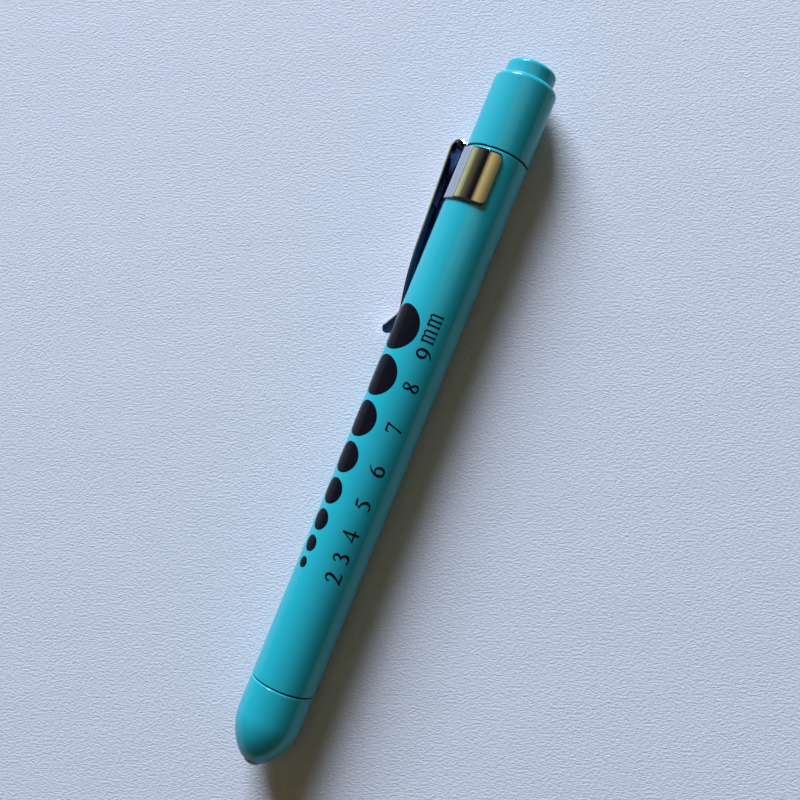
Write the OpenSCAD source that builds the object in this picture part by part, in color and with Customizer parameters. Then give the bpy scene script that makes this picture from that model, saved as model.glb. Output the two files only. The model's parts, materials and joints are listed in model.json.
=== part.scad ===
// Penlight: a slim aluminium pocket lamp with a push button at its tail, a
// spring-steel pocket clip, a five-millimetre lamp in its nose and a pupil
// gauge printed along the barrel. It lies on its side, nose towards +X, and
// rests on the clip's band and on the lower edge of the clip's arm.
//
// Places along the pen are measured from the joint between barrel and tail
// cap, positive towards the nose.

/* [Barrel] */
// Diameter of one battery cell
cell_d = 10.5; // [10.3:0.1:11.5]
// Length of one battery cell, its nub included
cell_l = 44.5; // [42:0.1:45.5]
// Air round the cells inside the barrel
cell_gap = 0.2; // [0.1:0.05:0.4]
// Wall of the barrel along its middle
barrel_wall = 0.8; // [0.7:0.05:1.5]
// Length of the barrel beyond its two cells
barrel_extra = 18.2; // [17:0.1:27]
// Chamfer on the rims where barrel and caps meet
rim_chamfer = 0.22; // [0.05:0.01:0.3]

/* [Screwed necks] */
// Length of each cap's threaded neck
neck_l = 8; // [6:0.1:8.2]
// Wall left in the barrel outside a neck
socket_wall = 0.5; // [0.35:0.05:0.6]
// Radial air between a neck and its socket
neck_gap = 0.05; // [0.03:0.01:0.1]
// Depth of the thread cut in a neck
thread_depth = 0.2; // [0.1:0.02:0.24]
// Pitch of the thread cut in a neck
thread_pitch = 0.75; // [0.5:0.05:1]
// Gap that shows between a cap and the barrel
cap_gap = 0.12; // [0.02:0.01:0.25]

/* [Nose cap] */
// Straight stretch of the nose cap, from the barrel's end
nose_straight = 6.2; // [5:0.1:8]
// Radius of the rounded nose, seen from the side
nose_round = 12; // [11:0.1:14]
// Whole length of the nose cap, from the barrel's end
nose_l = 14.75; // [14.4:0.05:15]
// Width of the small flat that breaks the edge round the lens hole
tip_break = 0.15; // [0.05:0.01:0.2]
// Wall of the nose cap's neck
nose_neck_wall = 0.8; // [0.6:0.05:1]

/* [Lens] */
// Diameter of the lens where it stands in its hole
lens_d = 4.3; // [4:0.05:4.4]
// How far the lens stands out of the nose
lens_proud = 1.45; // [1.1:0.05:1.8]
// Diameter of the lens's foot behind the hole
lens_foot_d = 5.8; // [5.4:0.05:6]
// Thickness of the lens's foot
lens_foot_t = 1.15; // [0.8:0.05:1.4]
// Thickness of the lip that holds the lens in
lens_lip_t = 0.9; // [0.7:0.05:1.1]

/* [Lamp] */
// Diameter of the lamp's clear body
led_d = 4.9; // [4.6:0.05:5]
// Diameter of the rim at the lamp's foot
led_rim_d = 5.7; // [5.4:0.05:5.8]
// Thickness of that rim
led_rim_t = 1; // [0.6:0.1:1.2]
// Height of the lamp from its foot to the top of its dome
led_h = 8.6; // [8.3:0.1:9]
// Distance between the lamp's two legs
leg_pitch = 2.54; // [2.2:0.02:2.6]
// Diameter of a leg
leg_d = 0.5; // [0.4:0.05:0.6]
// Wall of the white bush round the lamp
bush_wall = 0.85; // [0.6:0.05:0.9]
// Length of that bush
bush_l = 4.2; // [3:0.1:4.6]
// Thickness of the round circuit board
board_t = 1; // [0.8:0.1:1.6]
// Thickness of the ring screwed in behind the board
lamp_ring_t = 1.6; // [1.2:0.1:2.2]
// Width of that ring, from its hole to its rim
lamp_ring_w = 1; // [0.7:0.1:1]

/* [Tail cap] */
// Length of the tail cap, from the barrel's end
tail_l = 15.65; // [15.6:0.05:19]
// Rounding of the tail cap's shoulder
shoulder_round = 1.25; // [0.6:0.05:1.25]
// Thickness of the lip that holds the button in
lip_t = 1.2; // [0.8:0.1:1.5]

/* [Button] */
// Diameter of the button
button_d = 9.8; // [9.4:0.05:9.9]
// How far the button stands out of the cap
button_proud = 3.15; // [2.6:0.05:4]
// How far the button can be pressed
button_travel = 2.2; // [1.6:0.1:2.4]
// Rounding of the button's outer rim
button_round = 0.9; // [0.3:0.05:1.2]
// Radial air between the button and its hole
button_gap = 0.07; // [0.05:0.01:0.1]
// How far the button's flange reaches past the button
flange_step = 0.27; // [0.2:0.01:0.3]
// Thickness of the flange
flange_t = 1; // [0.7:0.1:1.2]
// Thickness of the button's end wall
button_wall = 1; // [0.8:0.1:1.5]

/* [Switch] */
// Length of the switch housing
housing_l = 14.4; // [14.2:0.1:14.8]
// Thickness of the housing's rear wall
housing_end = 1.2; // [0.8:0.1:1.4]
// Radius of the chamber in the housing
chamber_r = 3.9; // [3.8:0.05:4.2]
// Radius inside the housing's guide ribs
rib_r = 3.3; // [3.2:0.05:3.4]
// Width of a guide rib
rib_w = 1.2; // [0.8:0.1:1.5]
// Radius of the plunger's stem
stem_r = 1.8; // [1.5:0.05:2]
// Height of the teeth on plunger and cam
tooth_h = 0.5; // [0.3:0.05:0.6]
// Length of the turning cam
cam_l = 2.8; // [2.4:0.1:3]
// Thickness of the insulating plate at the housing's front
base_t = 1.3; // [1:0.1:1.5]
// Thickness of the ring screwed in before the housing
tail_ring_t = 1.6; // [1.2:0.1:2.2]
// Width of that ring, from its hole to its rim
tail_ring_w = 1.3; // [1:0.1:1.4]

/* [Springs] */
// Wire diameter of the springs that press on the cells
contact_wire = 0.5; // [0.4:0.05:0.6]
// Turns of the lamp's contact spring
lamp_spring_turns = 4; // [3:1:5]
// Turns of the tail's contact spring
tail_spring_turns = 4; // [3:1:5]
// Length of the tail's contact spring between cap and cell
tail_spring_l = 5.75; // [5:0.05:6.5]
// Wire diameter of the switch's return spring
return_wire = 0.34; // [0.28:0.02:0.36]
// Turns of the switch's return spring
return_turns = 5; // [4:1:5]

/* [Pocket clip] */
// Thickness of the clip's sheet
clip_t = 0.45; // [0.35:0.01:0.52]
// Start of the clip's band, from the barrel's tail end
band_start = 0.6; // [0.4:0.05:3]
// Width of the band along the barrel
band_w = 10.3; // [8:0.1:12]
// Angle from the arm's middle to the band's upper end
band_upper = 133.2; // [110:0.1:150]
// Angle from the arm's middle to the band's end underneath
band_lower = 122.5; // [100:0.1:150]
// Rounding of the band's corners
band_round = 0.9; // [0.3:0.05:1.5]
// Air between the band and the barrel
band_gap = 0.02; // [0.01:0.01:0.05]
// Height of the arm's outer face above the barrel, at its top
arm_rise = 3.11; // [3.04:0.01:3.4]
// Slope of the arm's upper stretch, towards the barrel
arm_slope = 2.1; // [1.5:0.1:2.2]
// Slope of the arm just before it meets the barrel
dive_slope = 13.5; // [12:0.1:13.8]
// Radius of the bend between these two slopes
dive_round = 65; // [55:1:66]
// Slope of the turned-up tip
tip_slope = 35; // [25:1:40]
// Radius of the bend where the arm touches the barrel
contact_round = 2.5; // [2:0.1:3]
// Place of the arm's contact with the barrel
contact_x = 33.2; // [33:0.1:35]
// Place of the arm's tip
arm_tip_x = 38.1; // [37.5:0.1:41.5]
// Width of the arm at its top
arm_w_top = 5.6; // [4.6:0.1:6.4]
// Width of the arm at the contact and the tip
arm_w_end = 3.3; // [2.6:0.1:3.6]
// Length of the strip that leads from the band's edge to the fold
fold_lead = 0.5; // [0.1:0.05:0.7]
// Width of the fold where it leaves the band
fold_w_band = 3.6; // [2.8:0.1:4]
// Rounding of the tip's two corners
arm_tip_round = 1.1; // [0.5:0.05:1.3]
// Air between the arm and the barrel at the contact
contact_gap = 0.03; // [0.02:0.01:0.1]
// Slit between band and arm at the fold, where the arm flexes
fold_slit = 0.12; // [0.11:0.01:0.2]

/* [Pupil gauge] */
// Smallest dot of the gauge
dot_min = 2; // [2:1:4]
// Largest dot of the gauge
dot_max = 9; // [6:1:9]
// Space between two neighbouring dots
dot_space = 1.25; // [0.8:0.05:2]
// Middle of the largest dot along the barrel
dot_start = 36.73; // [30:0.01:40]
// Angle round the barrel from the clip's arm to the row of dots
dot_turn = 70; // [60:0.5:100]
// Thickness of the printed ink
ink_t = 0.04; // [0.03:0.01:0.08]

/* [Hidden] */

$fn = 96;
fine_fn = 48;
cut = 0.01;        // how far a cutting shape passes the face it cuts
fit = 0.04;        // radial air of a piece seated in its bore
seat = 0.05;       // air between two pieces seated end to end
touch = 0.02;      // air between two pieces pressed together

// Radii of the tube and its sockets
bore_r = cell_d / 2 + cell_gap;
body_r = bore_r + barrel_wall;
socket_r = body_r - socket_wall;
socket_l = neck_l + 0.4;
barrel_l = 2 * cell_l + barrel_extra;
neck_chamfer = 0.3;
neck_r = socket_r - neck_gap;

// Cells, one behind the other, pressed between the two contact springs
jacket_t = 0.1;
nub_r = 1.9;
nub_h = 0.8;
nub_chamfer = 0.2;
can_r = cell_d / 2 - jacket_t - touch;
can_rim = 0.5;
jacket_back = 0.6;
jacket_front = 1.4;

// Switch, from the lip of the tail cap forwards
button_r = button_d / 2;
lip_x = -tail_l + lip_t;
flange_r = button_r + flange_step;
tail_bore_r = flange_r + seat;
flange_x = lip_x + seat;
travel_spare = 0.25;
housing_x = flange_x + flange_t + button_travel + travel_spare;
housing_front = housing_x + housing_l;
housing_r = tail_bore_r - fit;
base_x = housing_front - base_t - seat;
crown_r = 3.1;
crown_t = 1.5;
crown_room = 2.1;
crown_x = housing_x + housing_end + crown_room;
tooth_air = 0.15;
cam_x = crown_x + crown_t + tooth_h + tooth_air;
cam_r = 3;
cam_body_x = cam_x + tooth_h;
cam_front = cam_body_x + cam_l - tooth_h;
cam_nose_r = 1;
cam_nose_l = 0.9;
disc_r = 1.9;
disc_t = 0.25;
disc_x = cam_front + cam_nose_l + touch;
rivet_head_r = 1.5;
rivet_x = disc_x + disc_t + button_travel + seat;
rivet_shank_r = 0.8;
tail_plate_r = 3.25;
tail_plate_t = 0.3;
tail_plate_x = housing_front;
tail_spring_x = tail_plate_x + tail_plate_t;
tooth_count = 8;
rib_count = 4;
lug_w = 2.2;
lug_r = chamber_r - 0.15;
stem_air = 0.1;
socket_depth = 3;
return_spring_r = 2.5;
tail_spring_r = [2.8, 2.2];

// Cells lie against the tail's contact spring
rear_cell_x = tail_spring_x + tail_spring_l;
front_cell_x = rear_cell_x + cell_l;
front_cell_end = front_cell_x + cell_l;

// Lens and lamp, from the tip backwards
tip_x = barrel_l + nose_l;
lens_r = lens_d / 2;
lens_top = tip_x + lens_proud;
lens_bore_end = tip_x - lens_lip_t;
lens_bore_r = lens_foot_d / 2 + fit;
lens_x = lens_bore_end - lens_foot_t - seat;
lens_dome_r = (pow(lens_r, 2) + pow(lens_proud, 2)) / (2 * lens_proud);
led_r = led_d / 2;
led_rim_r = led_rim_d / 2;
led_top = lens_x - seat;
led_foot = led_top - led_h;
lamp_hole_r = led_r + seat;
bush_x = led_foot + led_rim_t + seat;
bush_r = lamp_hole_r + bush_wall;
bush_bore_r = bush_r + fit;
bush_bore_end = bush_x + bush_l + seat;
nose_bore_r = neck_r - nose_neck_wall;
boss_l = 1.7;
nose_bore_end = led_foot - boss_l;
board_r = nose_bore_r - 2 * fit;
carrier_r = nose_bore_r - fit;
carrier_l = 4.3;
carrier_x = nose_bore_end - carrier_l - seat;
board_x = carrier_x - board_t;
leg_hole_r = leg_d / 2 + 0.08;
leg_end = board_x + 0.05;
frame_room_r = 1.75;
frame_room = [2.6, 5.3];
cup_r = 0.75;
cup_h = 1.5;
lamp_pad_r = 2;
lamp_pad_t = 0.3;
lamp_stud_r = 0.9;
lamp_stud_t = 0.9;
lamp_pad_x = board_x - lamp_pad_t;
lamp_spring_r = [1.3, lamp_pad_r - contact_wire];
lamp_ring_x = board_x - lamp_ring_t - seat;
resistor = [0.6, 2, 1.2];
resistor_y = 2.85;

// Clip: the arm is one strip of sheet that folds back over the band
band_r = body_r + band_gap;
band_out_r = band_r + clip_t;
arm_top_r = body_r + arm_rise;
fold_lift = 0.06;
fold_r = (arm_top_r - band_r - fold_lift - clip_t) / 2;
fold_axis_r = arm_top_r - clip_t / 2 - fold_r;
fold_axis_x = band_start - fold_lead;
fold_root_x = band_start + 0.35;
arm_corner_r = norm([arm_top_r, arm_w_top / 2]);
slit_angle = fold_slit / fold_r * 180 / PI;

// Stretches of the arm, so that it meets the barrel where it should
reach_x = contact_x - fold_axis_x - fold_r * sin(arm_slope)
    - dive_round * (sin(dive_slope) - sin(arm_slope))
    - contact_round * sin(dive_slope);
reach_r = body_r + contact_gap + contact_round + clip_t / 2
    - fold_axis_r - fold_r * cos(arm_slope)
    - dive_round * (cos(dive_slope) - cos(arm_slope))
    - contact_round * cos(dive_slope);
dive_l = (-reach_r * cos(arm_slope) - reach_x * sin(arm_slope))
    / sin(dive_slope - arm_slope);
arm_l = (reach_x - dive_l * cos(dive_slope)) / cos(arm_slope);
tip_l = (arm_tip_x - contact_x - contact_round * sin(tip_slope))
    / cos(tip_slope);

// The pen lies on the band and on the lower corner of the clip's fold
axis_z = band_out_r;
clip_roll = 180 - acos(axis_z / arm_corner_r)
    - atan(arm_w_top / 2 / arm_top_r);
reach_left = arm_top_r * sin(clip_roll)
    - arm_w_top / 2 * cos(clip_roll);
reach_right = max(body_r, -band_out_r * sin(clip_roll + band_lower));
axis_y = (reach_left - reach_right) / 2;
tail_end = -tail_l - button_proud;
origin_x = -(tail_end + lens_top) / 2;
dot_angle = clip_roll - dot_turn;

// Places children, drawn along +Z, on the pen's axis at place x
module on_axis(x = 0) {
    translate([origin_x + x, axis_y, axis_z])
        rotate([0, 90, 0])
            children();
}

// Places children, drawn with the pen along X and the clip upwards
module at_clip() {
    translate([origin_x, axis_y, axis_z])
        rotate([clip_roll, 0, 0])
            children();
}

// A tube along +Z
module tube(r_out, r_in, l) {
    difference() {
        cylinder(r = r_out, h = l);
        translate([0, 0, -cut])
            cylinder(r = r_in, h = l + 2 * cut);
    }
}

// A cylinder along +Z with a chamfer on its near and far rim
module chamfered(r, l, near = 0, far = 0) {
    rotate_extrude()
        polygon([[0, 0], [r - near, 0], [r, near], [r, l - far],
            [r - far, l], [0, l]]);
}

// Thread grooves round a neck that runs from 0 to l along +Z
module thread_grooves(l) {
    first = 1.2;
    count = floor((l - first - 0.8) / thread_pitch);
    half = thread_pitch * 0.4;
    for (i = [0 : count - 1])
        rotate_extrude()
            translate([neck_r - thread_depth, first + i * thread_pitch])
                polygon([[0, half], [thread_depth + cut, 0],
                    [thread_depth + cut, 2 * half]]);
}

// A round wire wound into a spring from 0 to l along +Z, one unbroken tube.
// Its first and last turn lie flat, and its radius goes from r_near to r_far.
module spring(r_near, r_far, wire, turns, l) {
    sides = 6;
    per_turn = 8;
    steps = turns * per_turn;
    flat = 0.8 / turns;
    flat_rise = 0.13;
    // share of the height reached after a share of the winding
    rise = function (s)
        s < flat ? flat_rise * s / flat
        : s > 1 - flat ? 1 - flat_rise * (1 - s) / flat
        : flat_rise + (1 - 2 * flat_rise) * (s - flat) / (1 - 2 * flat);
    path = [for (i = [0 : steps]) let (s = i / steps, a = s * turns * 360,
        r = r_near + (r_far - r_near) * s)
        [r * cos(a), r * sin(a), wire / 2 + (l - wire) * rise(s), a]];
    points = [for (p = path, k = [0 : sides - 1])
        let (b = k * 360 / sides, out = wire / 2 * cos(b))
        [p[0] + out * cos(p[3]), p[1] + out * sin(p[3]),
            p[2] + wire / 2 * sin(b)]];
    walls = [for (i = [0 : steps - 1], k = [0 : sides - 1])
        let (n = (k + 1) % sides)
        for (t = [[i * sides + k, (i + 1) * sides + k,
                i * sides + n],
            [i * sides + n, (i + 1) * sides + k,
                (i + 1) * sides + n]]) t];
    near_end = [for (k = [1 : sides - 2]) [0, k, k + 1]];
    far_end = [for (k = [1 : sides - 2]) [steps * sides,
        steps * sides + k + 1, steps * sides + k]];
    echo("least gap between a spring's turns", min([for (i = [0 : steps],
        j = [i + per_turn / 2 + 1 : 1 : steps])
        norm([for (k = [0 : 2]) path[i][k] - path[j][k]])]) - wire);
    polyhedron(points, concat(walls, near_end, far_end));
}

// The barrel: a thin tube with a wider threaded socket at each end
module barrel() {
    color("mediumturquoise")
        on_axis()
            difference() {
                chamfered(body_r, barrel_l, rim_chamfer, rim_chamfer);
                translate([0, 0, -cut])
                    cylinder(r = bore_r, h = barrel_l + 2 * cut);
                translate([0, 0, -cut])
                    cylinder(r = socket_r, h = socket_l + cut);
                translate([0, 0, barrel_l - socket_l])
                    cylinder(r = socket_r, h = socket_l + cut);
            }
}

// Where the middle of dot d lies along the barrel
function dot_place(d) = d >= dot_max ? dot_start
    : dot_place(d + 1) + (d + 1) / 2 + dot_space + d / 2;

// Outline of a dot of diameter d, printed round on the barrel's curved
// side and seen from straight above it
module wrapped_dot(d) {
    sides = 40;
    polygon([for (i = [0 : sides - 1]) let (a = i * 360 / sides)
        [d / 2 * cos(a), body_r * sin(d / 2 * sin(a) / body_r * 180 / PI)]]);
}

// The pupil gauge: one printed dot for each whole millimetre of diameter
module gauge_dots() {
    ink_r = body_r + 0.01;
    color("black")
        translate([origin_x, axis_y, axis_z])
            rotate([dot_angle, 0, 0])
                for (d = [dot_min : dot_max])
                    translate([dot_place(d), 0, 0])
                        intersection() {
                            translate([-dot_max, 0, 0])
                                rotate([0, 90, 0])
                                    tube(ink_r + ink_t, ink_r, 2 * dot_max);
                            linear_extrude(height = 2 * body_r)
                                wrapped_dot(d);
                        }
}

// A cell's steel can, with its nub at the front
module cell_can(x) {
    color("lightgray")
        on_axis(x) {
            chamfered(can_r, cell_l - nub_h, can_rim, can_rim);
            translate([0, 0, cell_l - nub_h - cut])
                chamfered(nub_r, nub_h + cut, 0, nub_chamfer);
        }
}

// A cell's printed sleeve
module cell_jacket(x) {
    color("darkorange")
        on_axis(x + jacket_back)
            tube(cell_d / 2, cell_d / 2 - jacket_t,
                cell_l - jacket_back - jacket_front);
}

module rear_cell_can() {
    cell_can(rear_cell_x);
}

module rear_cell_jacket() {
    cell_jacket(rear_cell_x);
}

module front_cell_can() {
    cell_can(front_cell_x);
}

module front_cell_jacket() {
    cell_jacket(front_cell_x);
}

// A wedge from the origin, from angle 0 to angle a, for cutting rings
module wedge(r, a) {
    steps = ceil(a / 60);
    polygon(concat([[0, 0]], [for (i = [0 : steps])
        2 * r * [cos(a * i / steps), sin(a * i / steps)]]));
}

// A straight stretch of sheet seen from its edge, then what follows it
module straight(l) {
    translate([0, -clip_t / 2])
        square([l, clip_t]);
    translate([l, 0])
        children();
}

// A bend of sheet seen from its edge, to the left if a is positive,
// then what follows it
module bend(r, a) {
    side = sign(a);
    translate([0, side * r])
        intersection() {
            difference() {
                circle(r = r + clip_t / 2);
                circle(r = r - clip_t / 2);
            }
            rotate(side > 0 ? -90 : 90 + a)
                wedge(r, abs(a));
        }
    translate([0, side * r])
        rotate(a)
            translate([0, -side * r])
                children();
}

// Sheet seen from its edge, given its width across the pen
module across(w) {
    rotate([90, 0, 0])
        linear_extrude(height = w, center = true)
            children();
}

// A square corner at the origin less its rounding, for rounding corners.
// The circle passes the corner's sides by a hair, so that it cuts them.
module corner_cut(r) {
    difference() {
        translate([-cut, -cut])
            square([r + cut, r + cut]);
        translate([r, r])
            circle(r = r + cut, $fn = fine_fn);
    }
}

// The band: a C of sheet gripping the barrel, with the lower half of the
// fold that carries the arm
module clip_band() {
    color("silver")
        at_clip() {
            difference() {
                translate([band_start, 0, 0])
                    rotate([0, 90, 0])
                        rotate([0, 0, 180 - band_upper])
                            linear_extrude(height = band_w)
                                intersection() {
                                    difference() {
                                        circle(r = band_out_r);
                                        circle(r = band_r);
                                    }
                                    wedge(band_out_r,
                                        band_upper + band_lower);
                                }
                for (side = [-1, 1], far = [0, 1])
                    rotate([side > 0 ? band_lower : -band_upper, 0, 0])
                        translate([band_start + far * band_w, 0, 0])
                            mirror([far, 0, 0])
                                mirror([0, side > 0 ? 0 : 1, 0])
                                    linear_extrude(height = 2 * body_r)
                                        corner_cut(band_round);
            }
            intersection() {
                across(arm_w_top)
                    translate([fold_axis_x, fold_axis_r])
                        rotate(180)
                            translate([fold_r, 0])
                                rotate(90)
                                    straight_fold();
                linear_extrude(height = arm_top_r)
                    polygon([
                        [fold_axis_x - fold_r - clip_t, -arm_w_top / 2],
                        [fold_root_x, -fold_w_band / 2],
                        [fold_root_x, fold_w_band / 2],
                        [fold_axis_x - fold_r - clip_t, arm_w_top / 2]]);
            }
        }
}

// The lower half of the fold, from its tail end down to the band
module straight_fold() {
    bend(fold_r, 90)
        straight(fold_root_x - fold_axis_x);
}

// The arm: the upper half of the fold, the long stretch, the dive to the
// barrel and the turned-up tip
module clip_arm() {
    width_end = contact_x - 1;
    color("silver")
        at_clip()
            intersection() {
                across(arm_w_top)
                    translate([fold_axis_x, fold_axis_r])
                        rotate(180 - slit_angle)
                            translate([fold_r, 0])
                                rotate(-90)
                                    bend(fold_r, slit_angle - 90 - arm_slope)
                                        straight(arm_l)
                                            arm_end();
                linear_extrude(height = 2 * arm_top_r)
                    difference() {
                        polygon([
                            [fold_axis_x - arm_rise, arm_w_top / 2],
                            [fold_axis_x - arm_rise, -arm_w_top / 2],
                            [fold_axis_x, -arm_w_top / 2],
                            [width_end, -arm_w_end / 2],
                            [arm_tip_x, -arm_w_end / 2],
                            [arm_tip_x, arm_w_end / 2],
                            [width_end, arm_w_end / 2],
                            [fold_axis_x, arm_w_top / 2]]);
                        for (side = [0, 1])
                            mirror([0, side, 0])
                                translate([arm_tip_x, -arm_w_end / 2])
                                    mirror([1, 0, 0])
                                        corner_cut(arm_tip_round);
                    }
            }
}

// The arm's dive, its contact with the barrel and its tip
module arm_end() {
    bend(dive_round, arm_slope - dive_slope, $fn = 720)
        straight(dive_l)
            bend(contact_round, dive_slope + tip_slope)
                straight(tip_l);
}

// The nose cap: neck, straight stretch and rounded nose with the lamp hole
module nose_cap() {
    back = -neck_l;
    color("mediumturquoise")
        on_axis(barrel_l)
            difference() {
                union() {
                    rotate_extrude()
                        nose_outline();
                    translate([0, 0, back])
                        chamfered(neck_r, neck_l + 1, neck_chamfer);
                }
                translate([0, 0, back])
                    thread_grooves(neck_l);
                translate([0, 0, back - cut])
                    cylinder(r = nose_bore_r,
                        h = nose_bore_end - barrel_l - back + cut);
                cylinder(r = bush_bore_r, h = bush_bore_end - barrel_l);
                cylinder(r = lens_bore_r, h = lens_bore_end - barrel_l);
                cylinder(r = lens_r + seat, h = nose_l + cut);
            }
}

// Radius of the rounded nose at its tip
function nose_end_r() = body_r - nose_round
    + sqrt(pow(nose_round, 2) - pow(nose_l - nose_straight, 2));

// Half outline of the nose: a straight side that runs into one arc, with
// its rims broken
module nose_outline() {
    break_slope = 25;
    break_l = (body_r - nose_end_r() + tip_break) * tan(break_slope);
    intersection() {
        polygon([[0, cap_gap], [body_r - rim_chamfer, cap_gap],
            [body_r, cap_gap + rim_chamfer], [body_r, nose_l - break_l],
            [nose_end_r() - tip_break, nose_l], [0, nose_l]]);
        union() {
            square([body_r, nose_straight]);
            translate([body_r - nose_round, nose_straight])
                circle(r = nose_round, $fn = 360);
        }
    }
}

// The clear lens: a foot held behind the nose's lip and a domed front
module lens() {
    stem_l = tip_x - lens_x;
    color("white", 0.5)
        on_axis(lens_x) {
            cylinder(r = lens_foot_d / 2, h = lens_foot_t);
            cylinder(r = lens_r, h = stem_l);
            intersection() {
                translate([0, 0, stem_l + lens_proud - lens_dome_r])
                    sphere(r = lens_dome_r);
                translate([0, 0, stem_l - cut])
                    cylinder(r = lens_r, h = lens_proud + 1);
            }
        }
}

// The lamp's clear body: rim, cylinder and dome, with room for its frame
module led_body() {
    color("white", 0.5)
        on_axis(led_foot)
            difference() {
                union() {
                    cylinder(r = led_rim_r, h = led_rim_t, $fn = fine_fn);
                    cylinder(r = led_r, h = led_h - led_r, $fn = fine_fn);
                    translate([0, 0, led_h - led_r])
                        sphere(r = led_r, $fn = fine_fn);
                }
                for (side = [-1, 1])
                    translate([0, side * leg_pitch / 2, -cut])
                        cylinder(r = leg_hole_r, h = frame_room[0] + 2 * cut,
                            $fn = 24);
                translate([0, 0, frame_room[0]])
                    cylinder(r = frame_room_r,
                        h = frame_room[1] - frame_room[0], $fn = fine_fn);
            }
}

// The lamp's metal frame: two legs, one with a flag, one with the cup that
// holds the chip
module led_frame() {
    leg = led_foot - leg_end + frame_room[0] + 0.2;
    bar_z = leg - 0.1;
    bar_h = 0.6;
    flag_w = 0.9;
    flag_h = 1.6;
    cup_y = 0.25;
    cup_z = bar_z + 0.2;
    chip_d = 0.5;
    color("gainsboro")
        on_axis(leg_end) {
            for (side = [-1, 1])
                translate([0, side * leg_pitch / 2, 0])
                    cylinder(r = leg_d / 2, h = leg, $fn = 24);
            translate([-leg_d / 2, -(leg_pitch + leg_d) / 2, bar_z])
                cube([leg_d, flag_w, flag_h]);
            difference() {
                union() {
                    translate([-leg_d / 2, 0, bar_z])
                        cube([leg_d, (leg_pitch + leg_d) / 2, bar_h]);
                    translate([0, cup_y, cup_z])
                        cylinder(r = cup_r, h = cup_h, $fn = fine_fn);
                }
                translate([0, cup_y, cup_z + cup_h - chip_d])
                    cylinder(r1 = cup_r - 0.45, r2 = cup_r - 0.1,
                        h = chip_d + cut, $fn = fine_fn);
            }
        }
}

// The white bush that centres the lamp in the nose
module led_bush() {
    color("white")
        on_axis(bush_x)
            tube(bush_r, lamp_hole_r, bush_l);
}

// The stepped carrier that backs the lamp, with two holes for its legs
module led_carrier() {
    boss_r = bush_bore_r - fit;
    color("dimgray")
        on_axis(carrier_x)
            difference() {
                union() {
                    cylinder(r = carrier_r, h = carrier_l);
                    cylinder(r = boss_r, h = led_foot - carrier_x - seat);
                }
                leg_holes(led_foot - carrier_x);
            }
}

// Two holes for the lamp's legs through a piece l long
module leg_holes(l) {
    for (side = [-1, 1])
        translate([0, side * leg_pitch / 2, -cut])
            cylinder(r = leg_hole_r, h = l + 2 * cut, $fn = 24);
}

// The round circuit board behind the carrier
module led_board() {
    color("seagreen")
        on_axis(board_x)
            difference() {
                cylinder(r = board_r, h = board_t - seat);
                leg_holes(board_t);
            }
}

// The resistor on the back of the board
module led_resistor() {
    color("black")
        on_axis(board_x - resistor[0])
            translate([resistor_y - resistor[2] / 2, -resistor[1] / 2, 0])
                cube([resistor[2], resistor[1], resistor[0]]);
}

// The brass pad behind the board with a stud that centres the spring
module lamp_contact() {
    color("goldenrod")
        on_axis(lamp_pad_x) {
            cylinder(r = lamp_pad_r, h = lamp_pad_t);
            translate([0, 0, -lamp_stud_t])
                chamfered(lamp_stud_r, lamp_stud_t + cut, 0.15);
        }
}

// The coned spring between the lamp's contact and the front cell
module lamp_spring() {
    color("lightgray")
        on_axis(front_cell_end)
            spring(lamp_spring_r[0], lamp_spring_r[1], contact_wire,
                lamp_spring_turns, lamp_pad_x - front_cell_end);
}

// The ring that holds the lamp and its board in the nose cap
module lamp_ring() {
    color("goldenrod")
        on_axis(lamp_ring_x)
            tube(carrier_r, carrier_r - lamp_ring_w, lamp_ring_t);
}

// The tail cap: rounded shoulder with the button's hole, bore and neck
module tail_cap() {
    color("mediumturquoise")
        on_axis(-tail_l)
            difference() {
                union() {
                    rotate_extrude()
                        shoulder_outline();
                    translate([0, 0, tail_l - 1])
                        mirrored_neck(neck_l + 1);
                }
                translate([0, 0, lip_t])
                    cylinder(r = tail_bore_r, h = tail_l + neck_l);
                translate([0, 0, -cut])
                    cylinder(r = button_r + button_gap, h = tail_l);
                translate([0, 0, tail_l + neck_l])
                    mirror([0, 0, 1])
                        thread_grooves(neck_l);
            }
}

// Half outline of the tail cap's outside, its shoulder rounded
module shoulder_outline() {
    l = tail_l - cap_gap;
    r = shoulder_round;
    difference() {
        polygon([[0, 0], [body_r, 0], [body_r, l - rim_chamfer],
            [body_r - rim_chamfer, l], [0, l]]);
        translate([body_r, 0])
            mirror([1, 0])
                corner_cut(r);
    }
}

// A neck that ends in a small chamfer at its far end
module mirrored_neck(l) {
    chamfered(neck_r, l, 0, neck_chamfer);
}

// The button: rounded outside, with a flange behind the lip and a socket
// for the plunger
module button() {
    l = button_proud + lip_t + seat;
    boss_r = stem_r + 1;
    hollow_r = button_r - 1;
    color("mediumturquoise")
        on_axis(tail_end)
            difference() {
                union() {
                    rotate_extrude()
                        difference() {
                            square([button_r, l + flange_t]);
                            translate([button_r, 0])
                                mirror([1, 0])
                                    corner_cut(button_round);
                        }
                    translate([0, 0, l])
                        cylinder(r = flange_r, h = flange_t);
                }
                translate([0, 0, button_wall])
                    tube(hollow_r, boss_r, l + flange_t);
                translate([0, 0, l + flange_t - socket_depth])
                    cylinder(r = stem_r + touch, h = socket_depth + cut);
            }
}

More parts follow.
